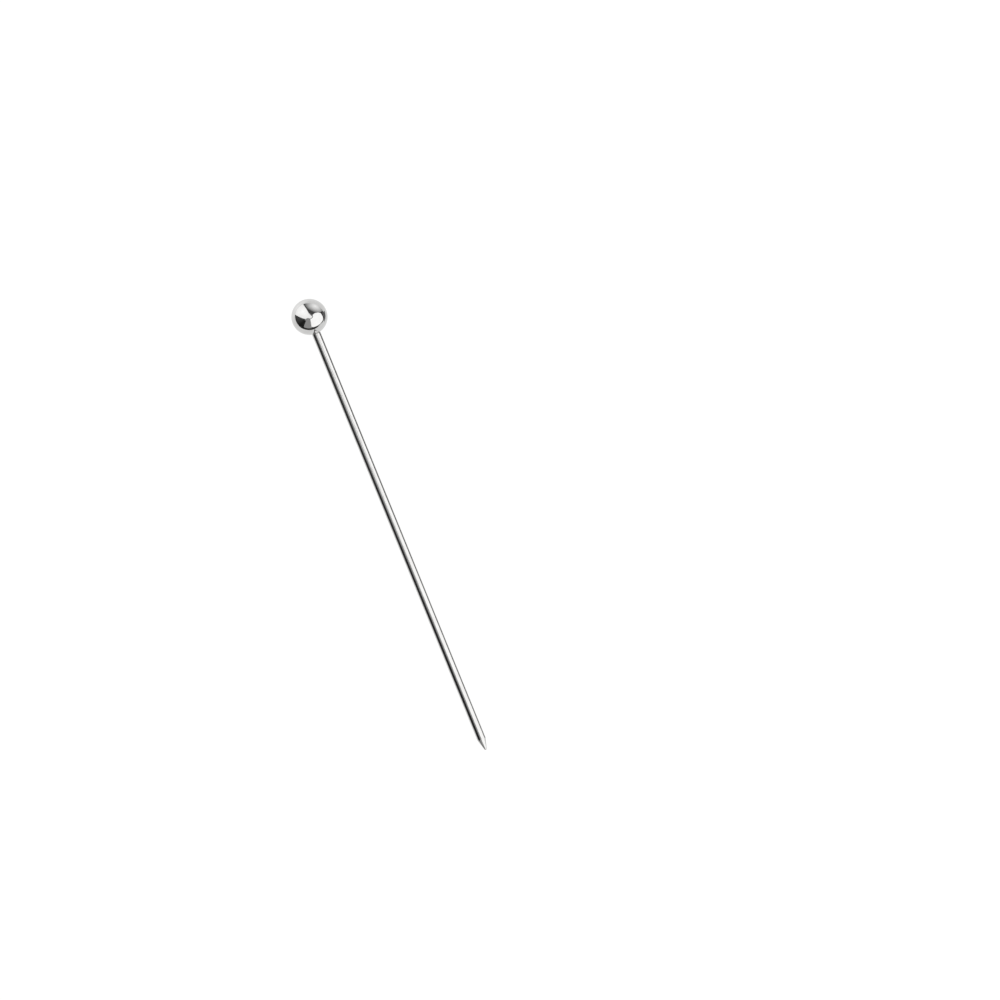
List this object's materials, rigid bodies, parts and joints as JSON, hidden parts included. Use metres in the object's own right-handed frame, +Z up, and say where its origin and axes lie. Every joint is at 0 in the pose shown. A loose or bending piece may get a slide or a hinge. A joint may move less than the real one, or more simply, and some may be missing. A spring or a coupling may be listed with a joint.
{
  "type": "cocktail pick",
  "caption": "Slim polished steel cocktail pick: a ball head on a straight round wire with a ground, slightly blunted point, for spearing drink garnishes.",
  "frame": {"origin": "on the surface that the pick lies on, below the middle of its length", "axes": "+X from the ball head to the point, +Z up from the surface; the wire slopes down towards the point by 1.70 degrees, because the pick rests on its ball and on the shoulder of its point"},
  "size_m": [0.108, 0.008, 0.008],
  "materials": {
    "polished_steel": "polished"
  },
  "bodies": {
    "root": {"ball_head": "polished_steel", "shank": "polished_steel"}
  },
  "joints": []
}
